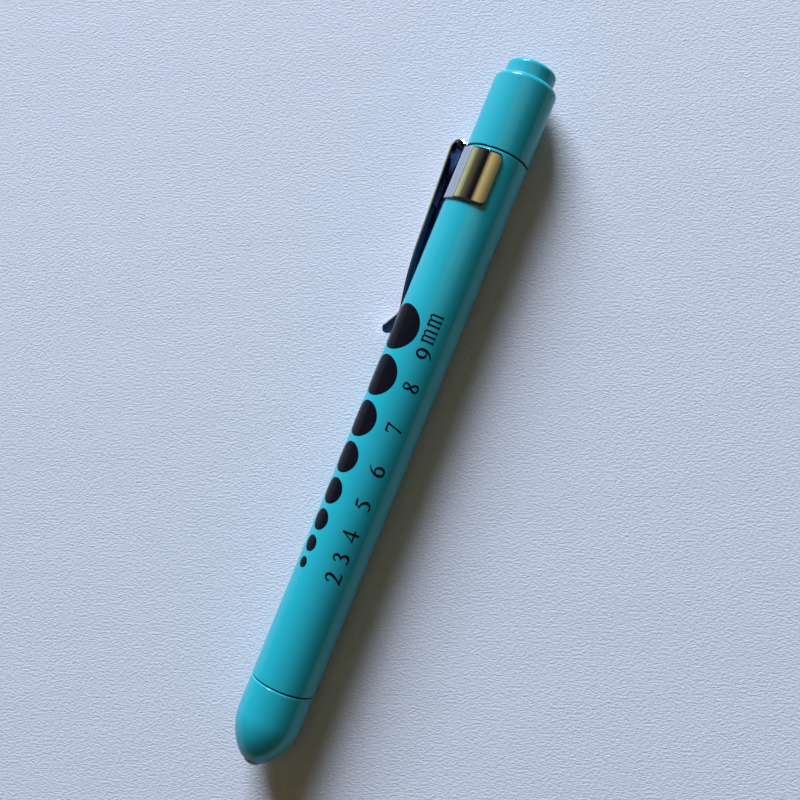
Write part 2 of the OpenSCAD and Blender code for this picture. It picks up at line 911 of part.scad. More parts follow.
// The housing of the click switch, open at its front, with guide ribs
module switch_housing() {
    chamber_l = housing_l - housing_end;
    rib_l = crown_x + crown_t - housing_x - housing_end
        + button_travel;
    color("whitesmoke")
        on_axis(housing_x) {
            difference() {
                cylinder(r = housing_r, h = housing_l);
                translate([0, 0, housing_end])
                    cylinder(r = chamber_r, h = chamber_l + cut);
                translate([0, 0, -cut])
                    cylinder(r = stem_r + stem_air, h = housing_l);
            }
            for (i = [0 : rib_count - 1])
                rotate(i * 360 / rib_count)
                    intersection() {
                        translate([0, -rib_w / 2, housing_end])
                            cube([chamber_r + 0.5, rib_w, rib_l]);
                        tube(chamber_r + 0.4, rib_r, housing_l);
                    }
        }
}

// A ring of pointed teeth standing on the plane z = 0
module teeth(r) {
    pitch = 360 / tooth_count;
    root = 2 * r * tan(pitch / 2) * 0.9;
    inner_r = r - 1.1;
    intersection() {
        tube(r, inner_r, tooth_h);
        for (i = [0 : tooth_count - 1])
            rotate(i * pitch)
                rotate([90, 0, 90])
                    linear_extrude(height = r + 1)
                        polygon([[-root / 2, -cut], [root / 2, -cut],
                            [0, tooth_h]]);
    }
}

// The plunger: a stem set in the button, a crown with guide lugs and teeth
module switch_plunger() {
    stem_x = flange_x + flange_t - socket_depth + seat;
    color("orange")
        on_axis(crown_x) {
            translate([0, 0, stem_x - crown_x])
                cylinder(r = stem_r, h = crown_x - stem_x + crown_t / 2);
            cylinder(r = crown_r, h = crown_t);
            for (i = [0 : rib_count - 1])
                rotate((i + 0.5) * 360 / rib_count)
                    intersection() {
                        translate([0, -lug_w / 2, 0])
                            cube([lug_r, lug_w, crown_t]);
                        cylinder(r = lug_r, h = crown_t);
                    }
            translate([0, 0, crown_t])
                teeth(crown_r);
        }
}

// The cam: it turns a step each time the plunger is pressed
module switch_cam() {
    color("steelblue")
        on_axis(cam_body_x) {
            mirror([0, 0, 1])
                rotate(180 / tooth_count)
                    teeth(cam_r);
            cylinder(r = cam_r, h = cam_front - cam_body_x);
            translate([0, 0, cam_front - cam_body_x])
                cylinder(r = cam_nose_r, h = cam_nose_l);
        }
}

// The brass disc on the cam's nose, which closes the circuit
module contact_disc() {
    color("goldenrod")
        on_axis(disc_x)
            cylinder(r = disc_r, h = disc_t);
}

// The return spring between cam and base
module switch_spring() {
    color("lightgray")
        on_axis(cam_front + touch)
            spring(return_spring_r, return_spring_r, return_wire,
                return_turns, base_x - cam_front - 2 * touch);
}

// The insulating plate that closes the switch housing
module switch_base() {
    color("black")
        on_axis(base_x)
            tube(chamber_r - fit, rivet_shank_r + fit, base_t);
}

// The brass contact riveted through the base, which carries the spring
module tail_contact() {
    color("goldenrod")
        on_axis(rivet_x) {
            cylinder(r = rivet_head_r, h = base_x - rivet_x - touch);
            cylinder(r = rivet_shank_r, h = tail_spring_x - rivet_x);
            translate([0, 0, tail_plate_x - rivet_x])
                cylinder(r = tail_plate_r, h = tail_plate_t);
        }
}

// The coned spring between the tail's contact and the rear cell
module tail_spring() {
    color("lightgray")
        on_axis(tail_spring_x)
            spring(tail_spring_r[0], tail_spring_r[1], contact_wire,
                tail_spring_turns, tail_spring_l);
}

// The ring that holds the switch in the tail cap
module tail_ring() {
    color("goldenrod")
        on_axis(housing_front + touch)
            tube(housing_r, housing_r - tail_ring_w, tail_ring_t);
}

barrel();
gauge_dots();
rear_cell_can();
rear_cell_jacket();
front_cell_can();
front_cell_jacket();
clip_band();
clip_arm();
nose_cap();
lens();
led_body();
led_frame();
led_bush();
led_carrier();
led_board();
led_resistor();
lamp_contact();
lamp_spring();
lamp_ring();
tail_cap();
switch_housing();
switch_base();
tail_contact();
tail_spring();
tail_ring();
switch_spring();
button();
switch_plunger();
switch_cam();
contact_disc();
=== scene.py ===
"""A turquoise pocket penlight lying on white paper, lit softly from the upper
left and seen from straight above.

Pieces are made in the pen's own terms, in millimetres: x along the pen from
the barrel's tail end towards the nose, r out from the pen's axis, and a turn
round that axis in degrees, from straight up towards the clip's side.
"""

import json
import math

import bpy
from mathutils import Euler, Matrix, Vector


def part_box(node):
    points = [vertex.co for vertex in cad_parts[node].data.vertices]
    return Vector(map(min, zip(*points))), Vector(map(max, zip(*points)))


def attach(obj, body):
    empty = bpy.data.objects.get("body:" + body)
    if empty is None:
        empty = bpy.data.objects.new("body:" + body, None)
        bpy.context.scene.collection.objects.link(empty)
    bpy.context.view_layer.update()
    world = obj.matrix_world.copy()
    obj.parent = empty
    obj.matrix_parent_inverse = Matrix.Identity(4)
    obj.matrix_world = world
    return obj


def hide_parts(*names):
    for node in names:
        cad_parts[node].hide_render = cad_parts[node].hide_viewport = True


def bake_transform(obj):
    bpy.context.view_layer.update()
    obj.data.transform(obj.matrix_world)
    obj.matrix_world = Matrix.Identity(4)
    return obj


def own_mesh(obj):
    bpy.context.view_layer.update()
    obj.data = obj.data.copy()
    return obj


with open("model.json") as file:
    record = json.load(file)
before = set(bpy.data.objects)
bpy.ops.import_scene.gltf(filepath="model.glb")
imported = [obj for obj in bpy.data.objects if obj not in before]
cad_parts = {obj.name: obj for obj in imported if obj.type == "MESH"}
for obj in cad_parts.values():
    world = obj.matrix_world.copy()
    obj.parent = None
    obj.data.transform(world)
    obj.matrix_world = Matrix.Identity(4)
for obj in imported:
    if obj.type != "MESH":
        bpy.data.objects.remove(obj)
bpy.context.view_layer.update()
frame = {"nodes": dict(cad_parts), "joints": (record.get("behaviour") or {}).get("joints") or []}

MM = 0.001


# ------------------------------------------------------------ sizes

def place_of(node):
    """Where a node starts and ends along the pen, in the pen's terms."""
    low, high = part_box(node)
    return (low.x - barrel_low.x) / MM, (high.x - barrel_low.x) / MM


barrel_low, barrel_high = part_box("barrel")
AXIS_Y = (barrel_low.y + barrel_high.y) / 2
AXIS_Z = (barrel_low.z + barrel_high.z) / 2
BODY_R = (barrel_high.z - barrel_low.z) / 2 / MM
BARREL_L = place_of("barrel")[1]
NECK_START, NOSE_END = place_of("nose_cap")
TAIL_START, NECK_END = place_of("tail_cap")
BUTTON_START, BUTTON_END = place_of("button")
LENS_START, LENS_END = place_of("lens")

# how far the clip's arm is turned round the pen, from its joint's axis
flex = next(j for j in frame["joints"] if j["name"] == "clip_flex")
CLIP_TURN = math.degrees(math.atan2(-flex["axis"][2], -flex["axis"][1]))

RIM = 0.22          # chamfer on the rims where barrel and caps meet
RIM_SOFT = 0.05     # rounding of the chamfers' own edges
BORE_SOFT = 0.05    # rounding of the bores' edges and the lens's foot
HOLE_SOFT = 0.06    # rounding of the edges round the lens and the button
CAP_GAP = 0.12      # dark line between a cap and the barrel
JOINT_SHADE_W = 0.3        # painted shade in that line and on the rim on its tail side
BORE_R = 5.45
SOCKET_R = 5.75
SOCKET_L = 8.4
NECK_R = 5.7
NECK_CHAMFER = 0.3
NECK_SOFT = 0.04    # rounding of that chamfer's edges
NECK_CORNER = 0.03  # rounding where a neck meets its cap's face
NECK_TIP = 0.5      # lengths at a neck's end and root that have no rings
NECK_ROOT = 0.1
THREAD_DEPTH = 0.2
THREAD_PITCH = 0.75
THREAD_LEAD = 0.8   # plain neck between its end and the thread
THREAD_STOP = 0.5   # plain neck between the thread and the cap
THREAD_FADE = 0.5   # length over which the groove runs out
THREAD_STEP = 0.09  # between the rings that carry the groove

NOSE_STRAIGHT = 6.2
NOSE_ROUND = 12.0
NOSE_SOFT = 0.16    # rounding of the nose's tip
NOSE_BORE_R = 4.9
NOSE_BORE_SOFT = 0.08
NOSE_BORE_L = 2.3   # from the barrel's end
BUSH_BORE_R = 3.39
BUSH_BORE_L = 9.3
LENS_R = 2.15
LENS_HOLE_R = 2.2
LENS_FOOT_R = 2.9
LENS_FOOT_T = 1.15
LENS_BORE_R = 2.94
LENS_LIP = 0.9

SHOULDER = 1.23     # rounding of the tail cap's shoulder
TAIL_HOLE_R = 4.97
TAIL_BORE_R = 5.22
TAIL_LIP = 1.2
BUTTON_R = 4.9
BUTTON_SOFT = 0.9
BUTTON_WALL = 1.0
FLANGE_R = 5.17
FLANGE_T = 1.0
SHELF_SOFT = 0.02   # rounding between the flange and the button's side
STEM_R = 1.82       # hole for the plunger's stem
STEM_WALL = 0.98
STEM_L = 3.0
HOLLOW_SOFT = 0.2   # rounding inside the button

SHEET = 0.45        # thickness of the clip's sheet
BAND_R = 6.27
BAND_START = 0.6
BAND_W = 10.3
BAND_UPPER = 133.2  # from the arm's middle to the band's ends, in degrees
BAND_LOWER = 122.5
BAND_CORNER = 0.9
FOLD_LEAD = 0.5     # from the band's edge to the fold
ARM_RISE = 3.11
ARM_SLOPE = 2.1
DIVE_SLOPE = 13.5
DIVE_ROUND = 65.0
TIP_SLOPE = 35.0
CONTACT_ROUND = 2.5
CONTACT_X = 33.2
CONTACT_GAP = 0.03  # between the arm and the barrel where it rests
ARM_TIP_X = 38.1
ARM_W_BAND = 5.2
ARM_W_TOP = 5.6
ARM_W_END = 3.3
ARM_CORNER = 1.25
TAPER_REST = 1.0    # of full taper before the arm's resting place
EDGE_SOFT = 0.08    # rounding of the sheet's edges

DOT_TURN = 70.0     # from the clip's arm round to the row of dots
DOT_MAX = 9         # the largest dot, and the row goes down to 2
DOT_SPACE = 1.25
DOT_START = 36.73
DIGIT_H = 3.08
DIGIT_DROP = 8.72   # from the dots' row round to the numbers' feet
LETTER_SPACE = 0.04     # shares of a number's height
WORD_SPACE = 0.25
NUMBER_SHIFT = 0.2      # every number's middle from its dot's
NUMBER_NUDGE = {9: -0.4, 7: -0.5, 4: 0.32}
INK = 0.03          # thickness of the print
INK_SPREAD = 0.06   # how far the ink has run past a dot's edge
INK_WEIGHT = 1.5    # how much heavier the numbers are than drawn

CAMERA_X = 53.085       # from the barrel's tail end
CAMERA_SIDE = 24.16     # towards +Y from the pen's axis
CAMERA_HIGH = 178.87    # above the pen's axis
CAMERA_TURNS = (3.953, 6.614, 112.292)
CAMERA_LENS = 42.81
SENSOR_W = 36.0
PAPER_HALF = 1.6        # metres


def at(x, r, turn):
    """A point in the row frame, in metres."""
    a = math.radians(turn)
    return Vector((
        barrel_low.x + x * MM,
        AXIS_Y - r * MM * math.sin(a),
        AXIS_Z + r * MM * math.cos(a),
    ))


# ------------------------------------------------------------ node trees

class Value:
    """A node's output, which can be added to, multiplied and so on."""

    def __init__(self, wiring, socket):
        self.wiring = wiring
        self.socket = socket

    def _math(self, operation, *values, clamp=False):
        return self.wiring.add(
            "ShaderNodeMath", {"operation": operation, "use_clamp": clamp},
            dict(enumerate(values)))

    def __add__(self, other):
        return self._math("ADD", self, other)

    __radd__ = __add__

    def __sub__(self, other):
        return self._math("SUBTRACT", self, other)

    def __rsub__(self, other):
        return self._math("SUBTRACT", other, self)

    def __mul__(self, other):
        return self._math("MULTIPLY", self, other)

    def __truediv__(self, other):
        return self._math("DIVIDE", self, other)

    def __gt__(self, other):
        return self._math("GREATER_THAN", self, other)

    def near(self, place, reach):
        """1 within reach of a place, and 0 elsewhere."""
        return self._math("COMPARE", self, place, reach)

    def clamped(self):
        """This value, kept from 0 to 1."""
        return self._math("ADD", self, 0.0, clamp=True)

    def angle_from(self, other):
        """The angle of this value over the other, in radians."""
        return self._math("ARCTAN2", self, other)

    def sine(self):
        return self._math("SINE", self)

    def cosine(self):
        return self._math("COSINE", self)

    def root(self):
        return self._math("SQRT", self)

    def step(self, low, high):
        """0 below low, 1 above high, and smooth between them."""
        return self.wiring.add(
            "ShaderNodeMapRange", {"interpolation_type": "SMOOTHSTEP"},
            {"Value": self, "From Min": low, "From Max": high})


class Wiring:
    """A node tree to which nodes are added."""

    def __init__(self, tree):
        self.tree = tree

    def add(self, kind, settings=None, sockets=None, output=0):
        """Adds a node: its settings first, then the values or links of its
        sockets, by name or by number. A list holds several links of one
        socket. Returns one of the node's outputs, if it has any."""
        node = self.tree.nodes.new(kind)
        for key, value in (settings or {}).items():
            if key == "stops":
                ramp = node.color_ramp.elements
                while len(ramp) < len(value):
                    ramp.new(0.5)
                for element, (place, color) in zip(ramp, value):
                    element.position = place
                    element.color = (*color, 1)
            else:
                setattr(node, key, value)
        for key, value in (sockets or {}).items():
            links = value if isinstance(value, list) else [value]
            if isinstance(links[0], Value):
                for link in links:
                    self.link(link, node.inputs[key])
            else:
                node.inputs[key].default_value = value
        return Value(self, node.outputs[output]) if node.outputs else None

    def link(self, value, socket):
        self.tree.links.new(value.socket, socket)

    def parts(self, vector):
        """The three numbers of a vector."""
        first = self.add("ShaderNodeSeparateXYZ", None, {0: vector})
        return [Value(self, s) for s in first.socket.node.outputs]

    def mix(self, share, low, high):
        """A colour that goes from low to high as share goes from 0 to 1."""
        first, last = 6, 7       # the Mix node's colour sockets
        return self.add("ShaderNodeMix", {"data_type": "RGBA"},
                        {0: share, first: self.color(low),
                         last: self.color(high)}, output=2)

    def color(self, value):
        return value if isinstance(value, Value) else (*value, 1)


class Finish(Wiring):
    """One material: a Principled shader and what varies over the surface."""

    def __init__(self, name, color, **settings):
        self.material = bpy.data.materials.new(name)
        self.material.use_nodes = True
        super().__init__(self.material.node_tree)
        self.shader = self.tree.nodes["Principled BSDF"]
        self.coordinates = self.add("ShaderNodeTexCoord", output="Object")
        self.shader.inputs["Base Color"].default_value = (*color, 1)
        for key, value in settings.items():
            socket = key.replace("_", " ").title().replace("Ior", "IOR")
            self.shader.inputs[socket].default_value = value

    def noise(self, size, scale=(1, 1, 1), detail=3.0, rough=0.55, turn=0.0):
        """Noise whose features are about size metres across, turned round Z
        and made longer along each axis by the factors in scale."""
        place = self.add("ShaderNodeMapping", {"vector_type": "TEXTURE"}, {
            "Vector": self.coordinates, "Scale": scale,
            "Rotation": (0, 0, math.radians(turn))})
        return self.add("ShaderNodeTexNoise", None, {
            "Vector": place, "Scale": 1 / size, "Detail": detail,
            "Roughness": rough})

    def facing(self, turn):
        """How far the surface faces that way round the pen, from -1 to 1."""
        normal = self.add("ShaderNodeNewGeometry", output="Normal")
        _, sideways, up = self.parts(normal)
        a = math.radians(turn)
        return sideways * -math.sin(a) + up * math.cos(a)

    def set(self, name, value):
        self.link(value, self.shader.inputs[name])

    def bump(self, height, depth, strength=1.0):
        """Raises the surface by up to depth metres."""
        self.set("Normal", self.add("ShaderNodeBump", None, {
            "Strength": strength, "Distance": depth, "Height": height}))


class Growth(Wiring):
    """A geometry node tree with named inputs for its sizes."""

    def __init__(self, name, **sizes):
        super().__init__(bpy.data.node_groups.new(name, "GeometryNodeTree"))
        self.name = name
        self.sizes = {key.replace("_", " "): value
                      for key, value in sizes.items()}
        sockets = self.tree.interface
        sockets.new_socket("Geometry", in_out="INPUT",
                           socket_type="NodeSocketGeometry")
        for key, value in self.sizes.items():
            kind = {int: "NodeSocketInt", float: "NodeSocketFloat"}.get(
                type(value), "NodeSocketMaterial")
            sockets.new_socket(key, in_out="INPUT", socket_type=kind)
        sockets.new_socket("Geometry", in_out="OUTPUT",
                           socket_type="NodeSocketGeometry")
        self.source = self.add("NodeGroupInput").socket.node

    def __getitem__(self, key):
        """One of the tree's inputs."""
        return Value(self, self.source.outputs[key])

    def point(self, x, y, z):
        return self.add("ShaderNodeCombineXYZ", None, {0: x, 1: y, 2: z})

    def round_pen(self, x, r, turn):
        """A place round the pen's axis; turn is in radians."""
        return self.point(x, r * turn.sine() * -1.0, r * turn.cosine())

    def moved(self, geometry, place):
        return self.add("GeometryNodeSetPosition", None,
                        {"Geometry": geometry, "Position": place})

    def grown(self, geometry, start=((), ())):
        """The tree's result as a mesh object that carries the tree as a modifier.
        start is the points and edges that it grows from."""
        whole = self.add("GeometryNodeRealizeInstances", None, {0: geometry})
        dressed = self.add("GeometryNodeSetMaterial", None, {
            "Geometry": whole, "Material": self["Material"]})
        self.add("NodeGroupOutput", None, {0: dressed})

        mesh = bpy.data.meshes.new(self.name)
        mesh.from_pydata(*start, [])
        piece = bpy.data.objects.new(self.name, mesh)
        bpy.context.scene.collection.objects.link(piece)
        modifier = piece.modifiers.new("growth", "NODES")
        modifier.node_group = self.tree
        for socket in self.tree.interface.items_tree:
            if socket.in_out == "INPUT" and socket.name in self.sizes:
                modifier[socket.identifier] = self.sizes[socket.name]
        return piece


def shade(color, factor):
    return tuple(c * factor for c in color)


def anodised():
    """Turquoise lacquer on turned aluminium, under a clear glossy coat. A
    line of painted shade darkens each cap's joint."""
    base = (0.019, 0.41, 0.455)
    m = Finish("anodised_turquoise", base, roughness=0.45,
               specular_ior_level=0.08, coat_weight=0.5,
               coat_roughness=0.035, coat_ior=1.5)
    cloud = m.noise(0.003, scale=(5, 1, 1), detail=2.0)
    turning = m.noise(0.00009, scale=(1, 40, 40), detail=2.0)
    clean = m.mix((cloud * 0.7 + turning * 0.3).clamped(),
                  shade(base, 0.93), shade(base, 1.06))
    x = m.parts(m.coordinates)[0]
    joint_shade_mask = sum(x.near(at(joint - JOINT_SHADE_W / 2, 0, 0).x, JOINT_SHADE_W / 2 * MM)
                   for joint in (0, BARREL_L + CAP_GAP))
    # painted shade: each joint's chamfer and gap darkened as if in shadow
    joint_shade = (0.002, 0.012, 0.014)
    m.set("Base Color", m.mix(joint_shade_mask, clean, joint_shade))
    m.set("Roughness", turning * 0.08 + 0.41)
    swell = m.noise(0.0016, scale=(8, 1, 1), detail=2.0)
    m.bump(swell + turning * 0.02, depth=0.000006, strength=0.6)
    return m.material


def ink():
    """Black print, cured smooth, hardly glossy."""
    base = (0.006, 0.006, 0.009)
    m = Finish("print_ink", base, roughness=0.14, specular_ior_level=0.08)
    cloud = m.noise(0.0012)
    m.set("Base Color", m.mix(cloud, shade(base, 0.8), shade(base, 1.3)))
    m.set("Roughness", cloud * 0.08 + 0.1)
    pores = m.noise(0.0004, detail=2.0)
    m.bump(pores, depth=0.0000015, strength=0.4)
    return m.material


def clip_steel():
    """Spring steel, mirror-polished, with hair-fine rubbing marks. The side
    towards the pen is painted blue-black: painted shade with a painted blue reflection."""
    base = (0.60, 0.65, 0.73)
    m = Finish("polished_clip", base, metallic=1.0, roughness=0.06)
    marks = m.noise(0.0001, scale=(16, 1, 1))
    smear = m.noise(0.0035, scale=(2, 1, 1)).step(0.42, 0.75)
    shaded_inner_side = (m.facing(CLIP_TURN) * -1.0).step(0.35, 0.75)
    polish = m.mix(smear, base, shade(base, 0.93))
    # painted shade and a painted blue reflection on the side towards the pen
    painted_shade_blue = (0.07, 0.11, 0.25)
    m.set("Base Color", m.mix(shaded_inner_side, polish, painted_shade_blue))
    m.set("Roughness", smear * 0.04 + marks * 0.03 + 0.015)
    swell = m.noise(0.003, scale=(4, 1, 1), detail=1.0)
    m.bump(swell + marks * 0.01, depth=0.00001, strength=0.35)
    return m.material


def clear_lens():
    """Clear acrylic with the slightest moulding ripple, darkened round the
    side of the dome with painted shade that stands in for the nose's dark hole showing through."""
    base = (0.97, 0.985, 1.0)
    m = Finish("clear_lens", base, roughness=0.02, ior=1.49,
              transmission_weight=1.0)
    ripple = m.noise(0.0009, detail=1.0)
    _, y, z = m.parts(m.coordinates)
    sideways = y - AXIS_Y
    up = z - AXIS_Z
    r = (sideways * sideways + up * up).root()
    # painted shade round the side of the dome
    painted_shade_tint = (0.035, 0.035, 0.04)
    m.set("Base Color", m.mix(r.step(1.0 * MM, 2.0 * MM), base, painted_shade_tint))
    m.set("Roughness", ripple * 0.02 + 0.01)
    m.bump(ripple, depth=0.000004, strength=0.3)
    return m.material


def lamp_clear():
    """The lamp's water-clear epoxy."""
    base = (0.93, 0.96, 1.0)
    m = Finish("lamp_epoxy", base, roughness=0.04, ior=1.5,
              transmission_weight=1.0)
    m.set("Roughness", m.noise(0.0008, detail=1.0) * 0.03 + 0.02)
    return m.material


def plated(name="plated_wire", base=(0.60, 0.59, 0.57)):
    """Nickel-plated steel, drawn along its length."""
    m = Finish(name, base, metallic=1.0, roughness=0.28)
    grain = m.noise(0.0002)
    m.set("Base Color", m.mix(grain, shade(base, 0.85), shade(base, 1.1)))
    m.set("Roughness", grain * 0.16 + 0.2)
    return m.material


def brass():
    """Turned brass, a little dulled."""
    base = (0.60, 0.42, 0.14)
    m = Finish("turned_brass", base, metallic=1.0, roughness=0.3)
    dull = m.noise(0.0014, detail=4.0).step(0.4, 0.7)
    m.set("Base Color", m.mix(dull, base, (0.38, 0.25, 0.10)))
    m.set("Roughness", dull * 0.2 + 0.22)
    return m.material


def plastic(name, base, rough=0.45):
    """Moulded plastic with a fine spark-eroded grain."""
    m = Finish(name, base, roughness=rough)
    texture = m.noise(0.00025, detail=2.0)
    cloud = m.noise(0.004, detail=2.0)
    m.set("Base Color", m.mix(cloud, shade(base, 0.9), shade(base, 1.08)))
    m.set("Roughness", texture * 0.15 + (rough - 0.07))
    m.bump(texture, depth=0.00001, strength=0.35)
    return m.material


def board_lacquer():
    """Green solder lacquer over faint copper tracks."""
    base = (0.02, 0.15, 0.06)
    m = Finish("board_lacquer", base, roughness=0.25, coat_weight=0.4)
    tracks = m.noise(0.0012, detail=0.0).step(0.5, 0.53)
    m.set("Base Color", m.mix(tracks, base, (0.05, 0.26, 0.09)))
    m.bump(tracks, depth=0.00002, strength=0.6)
    return m.material


def paper():
    """White writing paper, finely toothed and softly waved."""
    base = (0.77, 0.78, 0.80)
    m = Finish("paper", base, roughness=0.85, specular_ior_level=0.25)
    across = CAMERA_TURNS[2]
    tooth = m.noise(0.00042, scale=(1.7, 1, 1), rough=0.7, turn=across)
    wave = m.noise(0.016, scale=(3, 1, 1), rough=0.5, turn=across + 8)
    m.set("Base Color", m.mix(tooth, shade(base, 0.96), shade(base, 1.03)))
    m.bump(wave * 0.7 + tooth, depth=0.0002)
    return m.material


# ------------------------------------------------------------ mesh helpers

def new_piece(name, points, faces, material, body=None,
              nodes=(), sharp=28):
    """A mesh object of points (row frame, metres), riding on a body."""
    mesh = bpy.data.meshes.new(name)
    mesh.from_pydata([tuple(p) for p in points], [], faces)
    mesh.validate()
    for polygon in mesh.polygons:
        polygon.use_smooth = True
    mesh.set_sharp_from_angle(angle=math.radians(sharp))
    mesh.materials.append(material)
    piece = bpy.data.objects.new(name, mesh)
    bpy.context.scene.collection.objects.link(piece)
    if body:
        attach(piece, body)
    if nodes:
        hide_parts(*nodes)
    return piece


def finished(piece, sharp=40):
    """Turns the piece's modifiers into plain mesh."""
    bpy.context.view_layer.update()
    graph = bpy.context.evaluated_depsgraph_get()
    mesh = bpy.data.meshes.new_from_object(piece.evaluated_get(graph))
    piece.modifiers.clear()
    piece.data = mesh
    material = mesh.materials[-1]
    mesh.materials.clear()
    mesh.materials.append(material)
    for polygon in mesh.polygons:
        polygon.use_smooth = True
        polygon.material_index = 0
    mesh.set_sharp_from_angle(angle=math.radians(sharp))


def placed(piece, body, nodes=(), sharp=40):
    """Finishes a grown piece, moves its mesh on to the pen's axis, and lets
    it ride on a body."""
    finished(piece, sharp)
    piece.data.transform(Matrix.Translation(at(0, 0, 0)))
    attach(piece, body)
    if nodes:
        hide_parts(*nodes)
    return piece


def softened(corners, steps=6):
    """Points of a closed outline whose corners (x, r, rounding) are rounded.
    A point close to each end of a rounding keeps the flats beside it flat."""
    close = 0.015
    points = []
    count = len(corners)
    for i, (x, r, soft) in enumerate(corners):
        here = Vector((x, r))
        if soft <= 0:
            points.append((x, r))
            continue
        before = (Vector(corners[i - 1][:2]) - here).normalized()
        after = (Vector(corners[(i + 1) % count][:2]) - here).normalized()
        half = before.angle(after) / 2
        reach = soft / math.tan(half)
        middle = here + (before + after).normalized() * soft / math.sin(half)
        start = here + before * reach
        end = here + after * reach
        points.append(tuple(start + before * close))
        first = start - middle
        last = end - middle
        sweep = first.angle_signed(last)
        for k in range(steps + 1):
            turn = Euler((0, 0, -sweep * k / steps)).to_matrix().to_2x2()
            points.append(tuple(middle + turn @ first))
        points.append(tuple(end + after * close))
    return points


def lathe(name, outline, material, body, nodes, sides=160, carve=None):
    """A solid turned round the pen's axis from its half outline (x, r),
    listed anticlockwise. carve(x, r, turn) may take something off r."""
    points = []
    rings = []
    for x, r in outline:
        if r < 1e-6:
            rings.append([len(points)] * sides)
            points.append(at(x, 0, 0))
            continue
        ring = []
        for k in range(sides):
            turn = 360 * k / sides
            cut = carve(x, r, turn) if carve else 0
            ring.append(len(points))
            points.append(at(x, r - cut, turn))
        rings.append(ring)
    faces = []
    for i, ring in enumerate(rings):
        following = rings[(i + 1) % len(rings)]
        for k in range(sides):
            n = (k + 1) % sides
            corners = []
            for v in (ring[k], ring[n], following[n], following[k]):
                if v not in corners:
                    corners.append(v)
            if len(corners) > 2:
                faces.append(corners)
    return new_piece(name, points, faces, material, body, nodes)


def thread(start, end):
    """A carve for a neck: a helical V groove between start and end."""
    def carve(x, r, turn):
        on_neck = abs(r - NECK_R) <= 0.02
        if not (on_neck and start < x < end):
            return 0
        phase = (x / THREAD_PITCH - turn / 360) % 1
        tooth = 1 - abs(2 * phase - 1)
        fade = min(1, (x - start) / THREAD_FADE, (end - x) / THREAD_FADE)
        return THREAD_DEPTH * fade * tooth
    return carve


def neck_rings(start, end):
    """Points along a neck's outline, between start and end, close enough
    together to carry the thread."""
    count = max(1, int(abs(end - start) / THREAD_STEP))
    return [(start + (end - start) * i / count, NECK_R, 0)
            for i in range(1, count)]


# ------------------------------------------------------------ turned pieces

def barrel(material):
    far = BARREL_L
    outline = softened([
        (0, SOCKET_R, BORE_SOFT),
        (0, BODY_R - RIM, RIM_SOFT),
        (RIM, BODY_R, RIM_SOFT),
        (far - RIM, BODY_R, RIM_SOFT),
        (far, BODY_R - RIM, RIM_SOFT),
        (far, SOCKET_R, BORE_SOFT),
        (far - SOCKET_L, SOCKET_R, 0),
        (far - SOCKET_L, BORE_R, BORE_SOFT),
        (SOCKET_L, BORE_R, BORE_SOFT),
        (SOCKET_L, SOCKET_R, 0),
    ])
    return lathe("barrel_tube", outline, material, "barrel",
                 ["barrel"], sides=192)


def nose_cap(material):
    start = BARREL_L
    face = start + CAP_GAP
    arc_start = start + NOSE_STRAIGHT
    centre_r = BODY_R - NOSE_ROUND
    sweep = math.asin((NOSE_END - arc_start) / NOSE_ROUND)
    steps = 40
    arc = [(arc_start + NOSE_ROUND * math.sin(sweep * i / steps),
            centre_r + NOSE_ROUND * math.cos(sweep * i / steps), 0)
           for i in range(1, steps)]
    end_r = centre_r + NOSE_ROUND * math.cos(sweep)
    outline = softened([
        (face, NECK_R, NECK_CORNER),
        (face, BODY_R - RIM, RIM_SOFT),
        (face + RIM, BODY_R, RIM_SOFT),
        (arc_start, BODY_R, 0),
        *arc,
        (NOSE_END, end_r, NOSE_SOFT),
        (NOSE_END, LENS_HOLE_R, HOLE_SOFT),
        (NOSE_END - LENS_LIP, LENS_HOLE_R, 0),
        (NOSE_END - LENS_LIP, LENS_BORE_R, 0),
        (start + BUSH_BORE_L, LENS_BORE_R, 0),
        (start + BUSH_BORE_L, BUSH_BORE_R, 0),
        (start + NOSE_BORE_L, BUSH_BORE_R, 0),
        (start + NOSE_BORE_L, NOSE_BORE_R, 0),
        (NECK_START, NOSE_BORE_R, NOSE_BORE_SOFT),
        (NECK_START, NECK_R - NECK_CHAMFER, NECK_SOFT),
        (NECK_START + NECK_CHAMFER, NECK_R, NECK_SOFT),
        *neck_rings(NECK_START + NECK_TIP, face - NECK_ROOT),
    ])
    groove = thread(NECK_START + THREAD_LEAD, start - THREAD_STOP)
    return lathe("nose_shell", outline, material, "nose",
                 ["nose_cap"], carve=groove)


def tail_cap(material):
    face = -CAP_GAP
    outline = softened([
        (TAIL_START, TAIL_HOLE_R, HOLE_SOFT),
        (TAIL_START, BODY_R, SHOULDER),
        (face - RIM, BODY_R, RIM_SOFT),
        (face, BODY_R - RIM, RIM_SOFT),
        (face, NECK_R, NECK_CORNER),
        *neck_rings(face + NECK_ROOT, NECK_END - NECK_TIP),
        (NECK_END - NECK_CHAMFER, NECK_R, NECK_SOFT),
        (NECK_END, NECK_R - NECK_CHAMFER, NECK_SOFT),
        (NECK_END, TAIL_BORE_R, BORE_SOFT),
        (TAIL_START + TAIL_LIP, TAIL_BORE_R, 0),
        (TAIL_START + TAIL_LIP, TAIL_HOLE_R, 0),
    ], steps=10)
    groove = thread(THREAD_STOP, NECK_END - THREAD_LEAD)
    return lathe("tail_shell", outline, material, "tail",
                 ["tail_cap"], carve=groove)


